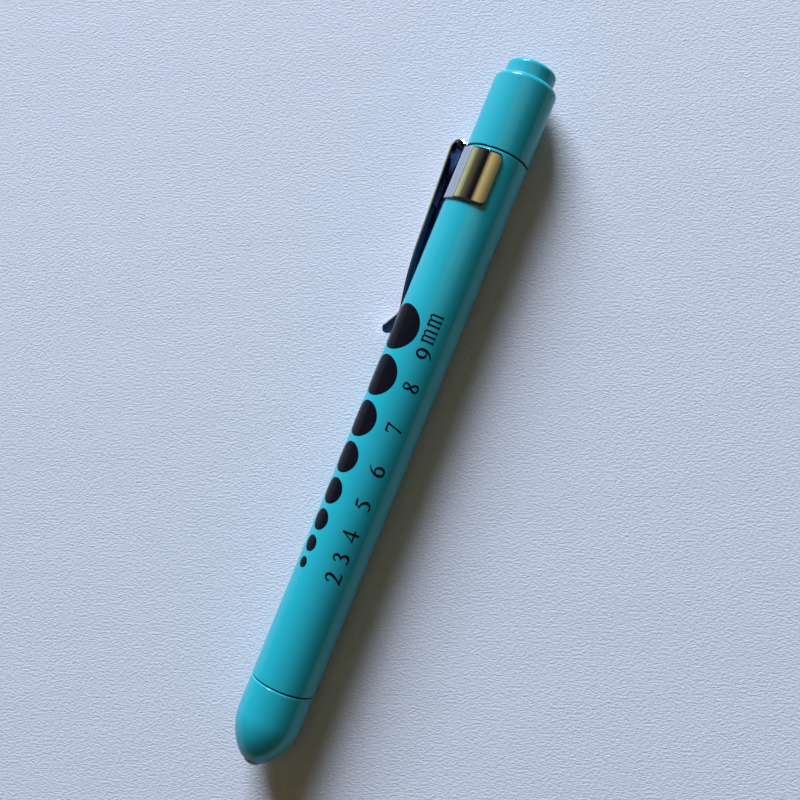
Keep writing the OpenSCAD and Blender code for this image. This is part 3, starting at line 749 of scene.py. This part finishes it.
def button(material):
    shelf = BUTTON_END - FLANGE_T
    hollow = BUTTON_START + BUTTON_WALL
    outline = softened([
        (BUTTON_START, 0, 0),
        (BUTTON_START, BUTTON_R, BUTTON_SOFT),
        (shelf, BUTTON_R, SHELF_SOFT),
        (shelf, FLANGE_R, HOLE_SOFT),
        (BUTTON_END, FLANGE_R, HOLE_SOFT),
        (BUTTON_END, BUTTON_R - BUTTON_WALL, 0),
        (hollow, BUTTON_R - BUTTON_WALL, HOLLOW_SOFT),
        (hollow, STEM_R + STEM_WALL, HOLLOW_SOFT),
        (BUTTON_END, STEM_R + STEM_WALL, 0),
        (BUTTON_END, STEM_R, 0),
        (BUTTON_END - STEM_L, STEM_R, 0),
        (BUTTON_END - STEM_L, 0, 0),
    ], steps=10)
    return lathe("push_button", outline, material, "button",
                 ["button"])


def lens(material):
    proud = LENS_END - NOSE_END
    dome_r = (LENS_R ** 2 + proud ** 2) / (2 * proud)
    sweep = math.asin(min(1, LENS_R / dome_r))
    if proud > dome_r:
        sweep = math.pi - sweep
    steps = 24
    dome = [(LENS_END - dome_r + dome_r * math.cos(sweep * i / steps),
             dome_r * math.sin(sweep * i / steps))
            for i in range(steps - 1, 0, -1)]
    foot_end = LENS_START + LENS_FOOT_T
    outline = [
        (LENS_START, 0),
        *softened([
            (LENS_START, LENS_FOOT_R, BORE_SOFT),
            (foot_end, LENS_FOOT_R, BORE_SOFT),
            (foot_end, LENS_R, 0),
        ]),
        (NOSE_END, LENS_R),
        *dome,
        (LENS_END, 0),
    ]
    return lathe("domed_lens", outline, material, "nose",
                 ["lens"], sides=96)


# ------------------------------------------------------------ clip

LEAD_STEPS = 2
FOLD_STEPS = 36


class Path:
    """Walks the clip's middle line in (x, r), bending as it goes."""

    def __init__(self, x, r, heading):
        self.x = x
        self.r = r
        self.heading = math.radians(heading)
        self.marks = [(x, r, self.heading)]

    def _mark(self):
        self.marks.append((self.x, self.r, self.heading))

    def straight(self, length, steps):
        for _ in range(steps):
            self.x += length / steps * math.cos(self.heading)
            self.r += length / steps * math.sin(self.heading)
            self._mark()

    def bend(self, radius, angle, steps):
        part = math.radians(angle) / steps
        for _ in range(steps):
            chord = 2 * radius * math.sin(abs(part) / 2)
            self.heading += part / 2
            self.x += chord * math.cos(self.heading)
            self.r += chord * math.sin(self.heading)
            self.heading += part / 2
            self._mark()


def arm_path(fold_x, band_mid):
    """The clip's middle line, from the band's edge to the arm's tip."""
    sin, cos = (lambda a: math.sin(math.radians(a)),
                lambda a: math.cos(math.radians(a)))
    fold_r = (BODY_R + ARM_RISE - SHEET / 2 - band_mid) / 2
    axis_r = band_mid + fold_r
    reach_x = (CONTACT_X - fold_x - fold_r * sin(ARM_SLOPE)
               - DIVE_ROUND * (sin(DIVE_SLOPE) - sin(ARM_SLOPE))
               - CONTACT_ROUND * sin(DIVE_SLOPE))
    reach_r = (BODY_R + CONTACT_GAP + CONTACT_ROUND + SHEET / 2
               - axis_r - fold_r * cos(ARM_SLOPE)
               - DIVE_ROUND * (cos(DIVE_SLOPE) - cos(ARM_SLOPE))
               - CONTACT_ROUND * cos(DIVE_SLOPE))
    dive_l = ((-reach_r * cos(ARM_SLOPE) - reach_x * sin(ARM_SLOPE))
              / sin(DIVE_SLOPE - ARM_SLOPE))
    arm_l = (reach_x - dive_l * cos(DIVE_SLOPE)) / cos(ARM_SLOPE)
    tip_l = ((ARM_TIP_X - CONTACT_X - CONTACT_ROUND * sin(TIP_SLOPE))
             / cos(TIP_SLOPE))
    path = Path(fold_x + FOLD_LEAD, band_mid, 180)
    path.straight(FOLD_LEAD, LEAD_STEPS)
    path.bend(fold_r, -180 - ARM_SLOPE, FOLD_STEPS)
    path.straight(arm_l, 24)
    path.bend(DIVE_ROUND, ARM_SLOPE - DIVE_SLOPE, 16)
    path.straight(dive_l, 1)
    path.bend(CONTACT_ROUND, DIVE_SLOPE + TIP_SLOPE, 14)
    path.straight(tip_l, 14)
    return path.marks


def clip(material):
    """Band, fold and arm as one sheet."""
    mid_r = BAND_R + SHEET / 2
    across = 16
    half_w = ARM_W_BAND / 2
    strip = [half_w * (2 * j / across - 1) for j in range(across + 1)]
    rad = math.degrees(1 / mid_r)        # degrees for each mm round the band

    # how far in from the band's ends its columns lie at the rounded corners
    corner_steps = 10
    corner = [BAND_CORNER * (1 - math.cos(math.pi / 2 * i / corner_steps))
              for i in range(corner_steps + 1)]
    side_steps = 30

    def side(reach):
        """Columns from the strip's edge to an end that far round."""
        plain = reach - (BAND_CORNER + half_w) * rad
        return ([half_w * rad + plain * i / side_steps
                 for i in range(1, side_steps)]
                + [reach - c * rad for c in reversed(corner)])

    upper = [-t for t in reversed(side(BAND_UPPER))]
    turns = upper + [s * rad for s in strip] + side(BAND_LOWER)

    rows = 14
    points = []
    faces = []
    grid = []
    for t in turns:
        inset = (BAND_LOWER - t if t > 0 else BAND_UPPER + t) / rad
        cut = 0.0
        if inset < BAND_CORNER:
            rest = BAND_CORNER - inset
            cut = BAND_CORNER - math.sqrt(max(0, BAND_CORNER ** 2 - rest ** 2))
        low = BAND_START + cut
        high = BAND_START + BAND_W - cut
        column = []
        for i in range(rows + 1):
            column.append(len(points))
            points.append(at(low + (high - low) * i / rows, mid_r,
                             CLIP_TURN + t))
        grid.append(column)
    for a, b in zip(grid, grid[1:]):
        for i in range(rows):
            faces.append((a[i], b[i], b[i + 1], a[i + 1]))

    # the fold and the arm grow out of the band's tail-side edge
    marks = arm_path(BAND_START - FOLD_LEAD, mid_r)
    lengths = [0.0]
    for (x0, r0, _), (x1, r1, _) in zip(marks, marks[1:]):
        lengths.append(lengths[-1] + math.hypot(x1 - x0, r1 - r0))
    total = lengths[-1]
    fold_l = lengths[LEAD_STEPS + FOLD_STEPS]
    previous = [grid[len(upper) + j][0] for j in range(across + 1)]
    for (x, r, heading), s in zip(marks[1:], lengths[1:]):
        flat = min(1, s / fold_l)
        flat = flat * flat * (3 - 2 * flat)
        top = half_w + (ARM_W_TOP / 2 - half_w) * flat
        taper = max(0, min(1, (x - BAND_START)
                           / (CONTACT_X - TAPER_REST - BAND_START)))
        if s < fold_l:
            taper = 0
        half = top + (ARM_W_END / 2 - top) * taper
        left_over = total - s
        if left_over < ARM_CORNER:
            rest = ARM_CORNER - left_over
            half -= ARM_CORNER - math.sqrt(
                max(0, ARM_CORNER ** 2 - rest ** 2))
        row = []
        for j in range(across + 1):
            y = half * (2 * j / across - 1)
            sag = (mid_r - math.sqrt(mid_r ** 2 - y ** 2)) * (1 - flat)
            # the sheet's face that was towards the barrel at the band
            nx = -math.sin(heading)
            nr = math.cos(heading)
            px = x + nx * sag
            pr = r + nr * sag
            row.append(len(points))
            turn = math.degrees(math.atan2(y, pr))
            points.append(at(px, math.hypot(pr, y), CLIP_TURN + turn))
        for j in range(across):
            faces.append((previous[j], row[j], row[j + 1], previous[j + 1]))
        previous = row

    piece = new_piece("clip_sheet", points, faces, material)
    thick = piece.modifiers.new("thickness", "SOLIDIFY")
    thick.thickness = SHEET * MM
    thick.offset = 0
    thick.use_even_offset = True
    soft = piece.modifiers.new("soft_edges", "BEVEL")
    soft.width = EDGE_SOFT * MM
    soft.segments = 3
    soft.limit_method = "ANGLE"
    soft.angle_limit = math.radians(50)
    finished(piece)
    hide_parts("clip_band", "clip_arm")
    # the fold lies where x + lean * r goes from first to last
    lean, first, last = 15.0, 112.5, 124.0
    tail = place_of("clip_band")[0]
    start = at(tail, (first - tail) / lean, CLIP_TURN)
    direction = at(1, lean, CLIP_TURN) - at(0, 0, CLIP_TURN)
    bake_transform(piece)
    return piece


# ------------------------------------------------------------ print

def printed(tree, geometry):
    """Bends a flat print, drawn with x along the pen and y round it, on to
    the barrel's skin beside the clip's arm. That mirrors it, so its faces
    are turned outwards again."""
    x, along, height = tree.parts(tree.add("GeometryNodeInputPosition"))
    turn = along / tree["Barrel radius"] + tree["Turn"]
    r = tree["Barrel radius"] + height
    bent = tree.moved(geometry, tree.round_pen(x, r, turn))
    return tree.add("GeometryNodeFlipFaces", None, {"Mesh": bent})


def dot_place(i):
    """Middle of the dot that is i dots after the largest. Each dot is a
    millimetre smaller than the one before it."""
    return DOT_START + i * (DOT_MAX + DOT_SPACE) - i * i / 2


def gauge_dots(material):
    """Round dots of ink, each a low disc with a softened edge."""
    tree = Growth(
        "gauge_print", Count=DOT_MAX - 1, First_dot=DOT_START * MM,
        First_width=DOT_MAX * MM, Smaller_by=MM, Space=DOT_SPACE * MM,
        Spread=INK_SPREAD * MM, Ink=INK * MM, Barrel_radius=BODY_R * MM,
        Turn=math.radians(CLIP_TURN - DOT_TURN), Material=material)

    # one disc of radius 1, its rings drawn out towards a softened rim, and
    # its foot sunk into the barrel's skin by a share of the ink
    disc = tree.add("GeometryNodeMeshCylinder", {"fill_type": "TRIANGLE_FAN"},
                    {"Vertices": 72, "Side Segments": 1, "Fill Segments": 12,
                     "Radius": 1.0, "Depth": 2.0})
    x, y, z = tree.parts(tree.add("GeometryNodeInputPosition"))
    r = (x * x + y * y).root()
    outwards = 2.0 - r                   # rings close up towards the rim
    rim = r > 0.99
    top = z > 0.0
    sunk = 0.4
    height = (top * (tree["Ink"] * (1 + sunk - rim * sunk))
              - tree["Ink"] * sunk)
    disc = tree.moved(disc, tree.point(x * outwards, y * outwards, height))

    i = tree.add("GeometryNodeInputIndex")
    width = tree["First width"] - i * tree["Smaller by"]
    place = (tree["First dot"] + i * (tree["First width"] + tree["Space"])
             - i * i * tree["Smaller by"] * 0.5)
    half = width * 0.5 + tree["Spread"]
    points = tree.add("GeometryNodePoints", None, {
        "Count": tree["Count"], "Position": tree.point(place, 0.0, 0.0)})
    row = tree.add("GeometryNodeInstanceOnPoints", None, {
        "Points": points, "Instance": disc,
        "Scale": tree.point(half, half, 1.0)})
    flat = tree.add("GeometryNodeRealizeInstances", None, {0: row})
    piece = tree.grown(printed(tree, flat))
    return placed(piece, "barrel", ["gauge_dots"], sharp=60)


# Strokes of the numbers in a serif hand. A number is 1 high with its foot at
# 0; each point is (across, up, half width), drawn on a smooth curve.
STROKES = {
    "2": [[(.07, .76, .045), (.13, .90, .035), (.27, .965, .04),
           (.42, .92, .055), (.475, .77, .06), (.43, .60, .055),
           (.30, .35, .045), (.16, .16, .035), (.03, .04, .03)],
          [(.03, .04, .04), (.30, .045, .045), (.53, .045, .045)],
          [(.53, .03, .03), (.57, .09, .025), (.60, .17, .015)]],
    "3": [[(.05, .81, .03), (.12, .92, .03), (.25, .965, .04),
           (.38, .92, .05), (.425, .79, .055), (.36, .64, .045),
           (.19, .53, .022)],
          [(.17, .54, .022), (.36, .50, .045), (.475, .34, .06),
           (.455, .17, .06), (.33, .06, .045), (.16, .03, .035),
           (.03, .075, .035)]],
    "4": [[(.464, .97, .05), (.464, .5, .048), (.464, .01, .048)],
          [(.44, .95, .03), (.25, .63, .024), (.05, .30, .022)],
          [(.02, .30, .036), (.3, .30, .036), (.64, .30, .036)]],
    "5": [[(.20, .90, .045), (.36, .915, .045), (.52, .94, .04)],
          [(.225, .91, .025), (.155, .79, .025), (.08, .665, .028)],
          [(.08, .665, .03), (.26, .64, .042), (.42, .50, .055),
           (.475, .31, .06), (.40, .13, .05), (.24, .035, .035),
           (.04, .065, .035)]],
    "6": [[(.53, .98, .018), (.32, .88, .032), (.14, .64, .052),
           (.065, .35, .06), (.145, .11, .052), (.32, .03, .036),
           (.485, .13, .052), (.55, .32, .058), (.49, .53, .05),
           (.33, .615, .034), (.12, .52, .022)]],
    "7": [[(.04, .77, .02), (.08, .86, .028), (.13, .93, .035)],
          [(.10, .935, .042), (.32, .94, .042), (.555, .94, .036)],
          [(.535, .94, .036), (.40, .5, .036), (.25, .01, .04)]],
    "8": [[(.27, .965, .03), (.42, .90, .042), (.435, .77, .045),
           (.34, .61, .042), (.17, .46, .05), (.065, .27, .05),
           (.12, .09, .04), (.27, .03, .032), (.43, .10, .045),
           (.465, .26, .048), (.37, .42, .045), (.20, .60, .05),
           (.11, .77, .045), (.14, .91, .036), (.28, .965, .03)]],
    "9": [[(.08, .02, .018), (.30, .12, .032), (.48, .36, .052),
           (.54, .65, .06), (.46, .89, .052), (.28, .97, .036),
           (.115, .87, .052), (.05, .68, .058), (.11, .47, .05),
           (.28, .385, .034), (.49, .48, .022)]],
    "m": [[(.135, 1.0, .04), (.135, .5, .04), (.135, .26, .04)],
          [(.443, .86, .04), (.443, .5, .04), (.443, .26, .04)],
          [(.768, .86, .04), (.768, .5, .04), (.768, .26, .04)],
          [(.03, .91, .02), (.08, .95, .025), (.135, .99, .03)],
          [(.135, .86, .02), (.24, .965, .03), (.36, .985, .038),
           (.435, .94, .04), (.443, .84, .04)],
          [(.443, .86, .02), (.555, .965, .03), (.68, .985, .038),
           (.758, .94, .04), (.768, .84, .04)],
          [(.03, .255, .018), (.135, .255, .022), (.24, .255, .018)],
          [(.345, .255, .018), (.443, .255, .022), (.55, .255, .018)],
          [(.67, .255, .018), (.768, .255, .022), (.87, .255, .018)]],
}
WIDTHS = {"2": .62, "3": .52, "4": .66, "5": .56, "6": .61, "7": .58,
          "8": .53, "9": .59, "m": .96}


def smooth_stroke(points, steps=6):
    """More points, on a smooth curve through a stroke's points."""
    result = []
    last = len(points) - 1
    for i in range(last):
        p0 = points[max(0, i - 1)]
        p1 = points[i]
        p2 = points[i + 1]
        p3 = points[min(last, i + 2)]
        for k in range(steps):
            t = k / steps
            result.append(tuple(
                (2 * b + (c - a) * t + (2 * a - 5 * b + 4 * c - d) * t * t
                 + (3 * b - a - 3 * c + d) * t ** 3) / 2
                for a, b, c, d in zip(p0, p1, p2, p3)))
    result.append(points[last])
    return result


def gauge_numbers(material):
    """The numbers beside the dots, tops towards them, read tailwards: a
    rounded bead of ink along every stroke."""
    points = []
    edges = []
    widths = []
    for i in range(DOT_MAX - 1):
        size = DOT_MAX - i
        label = f"{size} mm" if i == 0 else str(size)
        steps = [WIDTHS.get(c, WORD_SPACE) + LETTER_SPACE for c in label]
        left = (dot_place(i) + NUMBER_SHIFT + NUMBER_NUDGE.get(size, 0)
                + sum(steps) * DIGIT_H / 2)
        for c, step in zip(label, steps):
            for stroke in STROKES.get(c, []):
                for k, (u, v, w) in enumerate(smooth_stroke(stroke)):
                    if k:
                        edges.append((len(points) - 1, len(points)))
                    points.append(((left - u * DIGIT_H) * MM,
                                   (v * DIGIT_H - DIGIT_DROP) * MM, 0))
                    widths.append(w * DIGIT_H * INK_WEIGHT * MM)
            left -= step * DIGIT_H

    tree = Growth("gauge_numbers", Lift=INK * 0.1 * MM,
                  Barrel_radius=BODY_R * MM, Flatness=0.22,
                  Turn=math.radians(CLIP_TURN - DOT_TURN), Material=material)
    half = tree.add("GeometryNodeInputNamedAttribute",
                    {"data_type": "FLOAT"}, {"Name": "half_width"})
    strokes = tree.add("GeometryNodeMeshToCurve", None,
                       {"Mesh": tree["Geometry"]})
    profile = tree.add("GeometryNodeCurvePrimitiveCircle", None,
                       {"Resolution": 12, "Radius": 1.0})
    beads = tree.add("GeometryNodeCurveToMesh", None, {
        "Curve": strokes, "Profile Curve": profile, "Scale": half,
        "Fill Caps": True})
    ends = tree.add("GeometryNodeCurveEndpointSelection")
    ball = tree.add("GeometryNodeMeshUVSphere", None,
                    {"Segments": 12, "Rings": 6, "Radius": 1.0})
    caps = tree.add("GeometryNodeInstanceOnPoints", None, {
        "Points": strokes, "Selection": ends, "Instance": ball,
        "Scale": half})
    joined = tree.add("GeometryNodeJoinGeometry", None, {0: [caps, beads]})
    whole = tree.add("GeometryNodeRealizeInstances", None, {0: joined})
    x, y, z = tree.parts(tree.add("GeometryNodeInputPosition"))
    low = tree.moved(whole, tree.point(
        x, y, z * tree["Flatness"] + tree["Lift"]))
    piece = tree.grown(printed(tree, low), (points, edges))
    attribute = piece.data.attributes.new("half_width", "FLOAT", "POINT")
    attribute.data.foreach_set("value", widths)
    return placed(piece, "barrel", sharp=60)


# ------------------------------------------------------------ springs

def spring(name, node, body, material, turns, thick, r_near, r_far):
    """A smooth wound wire in the place of a node's spring. Its first and
    last turn lie flat, and its radius goes from r_near to r_far."""
    start, end = place_of(node)
    tree = Growth(
        name, Start=start * MM, Length=(end - start) * MM, Turns=turns,
        Wire=thick * MM, First_radius=r_near * MM, Last_radius=r_far * MM,
        Flat_turns=0.8, Flat_rise=0.13, Material=material)
    per_turn = 28
    count = tree["Turns"] * per_turn + 1.0
    line = tree.add("GeometryNodeResampleCurve", None, {
        "Curve": tree.add("GeometryNodeCurvePrimitiveLine"), "Count": count})
    share = tree.add("GeometryNodeInputIndex") / (count - 1.0)
    flat = tree["Flat turns"] / tree["Turns"]
    rise = tree["Flat rise"]
    climb = ((share / flat).clamped() * rise
             + ((share - flat) / (1.0 - flat * 2.0)).clamped()
             * (1.0 - rise * 2.0)
             + ((share - 1.0 + flat) / flat).clamped() * rise)
    wire_x = (tree["Start"] + tree["Wire"] * 0.5
              + climb * (tree["Length"] - tree["Wire"]))
    r = (tree["First radius"]
         + share * (tree["Last radius"] - tree["First radius"]))
    turn = share * tree["Turns"] * (2 * math.pi) - math.pi / 2
    helix = tree.moved(line, tree.round_pen(wire_x, r, turn))
    profile = tree.add("GeometryNodeCurvePrimitiveCircle", None, {
        "Resolution": 12, "Radius": tree["Wire"] * 0.5})
    wound = tree.add("GeometryNodeCurveToMesh", None, {
        "Curve": helix, "Profile Curve": profile, "Fill Caps": True})
    return placed(tree.grown(wound), body, [node])


# ------------------------------------------------------------ scene

def build():
    turquoise = anodised()
    steel = clip_steel()
    black = ink()
    wire = plated()
    barrel(turquoise)
    nose_cap(turquoise)
    tail_cap(turquoise)
    button(turquoise)
    lens(clear_lens())
    clip(steel)
    gauge_dots(black)
    gauge_numbers(black)
    spring("lamp_spring_wire", "lamp_spring", "nose", wire,
           turns=4, thick=0.5, r_near=1.3, r_far=1.5)
    spring("tail_spring_wire", "tail_spring", "tail", wire,
           turns=4, thick=0.5, r_near=2.8, r_far=2.2)
    pressed = spring("switch_spring_wire", "switch_spring", "tail", wire,
                     turns=5, thick=0.34, r_near=2.5, r_far=2.5)
    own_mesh(pressed)

    cans = plated("cell_can", (0.70, 0.70, 0.69))
    jackets = plastic("cell_jacket", (0.60, 0.20, 0.04), 0.3)
    white = plastic("white_plastic", (0.72, 0.72, 0.68))
    dark = plastic("dark_plastic", (0.03, 0.03, 0.032))
    contact = brass()
    looks = {
        "rear_cell_can": cans, "front_cell_can": cans,
        "rear_cell_jacket": jackets, "front_cell_jacket": jackets,
        "led_body": lamp_clear(), "led_frame": wire,
        "led_bush": white, "led_carrier": dark, "led_resistor": dark,
        "led_board": board_lacquer(), "lamp_contact": contact,
        "lamp_ring": contact, "tail_ring": contact,
        "tail_contact": contact, "contact_disc": contact,
        "switch_housing": white, "switch_base": dark,
        "switch_plunger": plastic("orange_plastic", (0.75, 0.24, 0.03), 0.35),
        "switch_cam": plastic("blue_plastic", (0.05, 0.15, 0.42), 0.35),
    }
    for node, material in looks.items():
        mesh = frame["nodes"][node].data
        mesh.materials.clear()
        mesh.materials.append(material)


def camera():
    data = bpy.data.cameras.new("camera")
    data.lens = CAMERA_LENS
    data.sensor_width = SENSOR_W
    data.clip_start = 0.01
    eye = bpy.data.objects.new("camera", data)
    eye.rotation_euler = [math.radians(a) for a in CAMERA_TURNS]
    eye.location = (barrel_low.x + CAMERA_X * MM, AXIS_Y + CAMERA_SIDE * MM,
                    AXIS_Z + CAMERA_HIGH * MM)
    bpy.context.scene.collection.objects.link(eye)
    bpy.context.scene.camera = eye


def softbox(name, tailwards, clipwards, up, distance, size, power, color):
    """A soft square panel that shines on the pen's middle, in a direction
    given by its three parts in the pen's terms."""
    direction = Vector((-tailwards, -clipwards, up)).normalized()
    data = bpy.data.lights.new(name, "AREA")
    data.size = size
    data.energy = power
    data.color = color
    light = bpy.data.objects.new(name, data)
    light.location = direction * distance
    light.rotation_euler = direction.to_track_quat("Z", "Y").to_euler()
    bpy.context.scene.collection.objects.link(light)


# What a mirror on the pen shows of the room at each angle from straight up,
# towards the clip's side, where the room isn't dark
ROOM_DARK = (0.026, 0.028, 0.030)
ROOM = [
    (-100, ROOM_DARK),
    (-80, (0.03, 0.035, 0.04)),
    (-40, (0.07, 0.075, 0.075)),
    (-31, (0.48, 0.36, 0.15)),
    (-20, (0.66, 0.46, 0.15)),
    (8, (0.92, 0.66, 0.24)),
    (15, (0.50, 0.36, 0.17)),
    (22, (0.015, 0.014, 0.012)),
    (33, (0.012, 0.012, 0.012)),
    (42, (0.06, 0.045, 0.03)),
    (60, (0.17, 0.15, 0.08)),
    (72, (0.60, 0.60, 0.30)),
    (84, (0.80, 0.78, 0.42)),
    (91, (0.05, 0.05, 0.05)),
    (100, ROOM_DARK),
]


# How far noseward a mirror's view of the room fades in and out, from -1 to 1
FADE_IN = (-0.46, -0.38)
FADE_OUT = (-0.18, -0.06)


def room():
    """Lights the scene dimly, mostly from above the pen's tail."""
    world = bpy.data.worlds.new("room")
    world.use_nodes = True
    wires = Wiring(world.node_tree)
    noseward, sideways, up = wires.parts(
        wires.add("ShaderNodeTexCoord", output="Generated"))
    roll = (sideways * -1.0).angle_from(up)
    stops = [(0.5 + angle / 360, color) for angle, color in ROOM]
    across = wires.add("ShaderNodeValToRGB", {"stops": stops},
                       {"Fac": roll * (0.5 / math.pi) + 0.5})
    lit = noseward.step(*FADE_IN) * (1.0 - noseward.step(*FADE_OUT))
    background = wires.tree.nodes["Background"]
    wires.link(wires.mix(lit, ROOM_DARK, across), background.inputs["Color"])
    bpy.context.scene.world = world


def studio():
    ends = (-PAPER_HALF, PAPER_HALF)
    points = [(x, y, 0) for x in ends for y in ends]
    sheet = new_piece("paper_floor", points, [(0, 2, 3, 1)], paper())
    camera()
    softbox("window", tailwards=0.76, clipwards=0.495, up=0.42,
            distance=2.6, size=1.15, power=146.0, color=(0.67, 0.775, 1.0))
    room()
    bpy.context.scene.view_settings.view_transform = "Standard"


build()
studio()
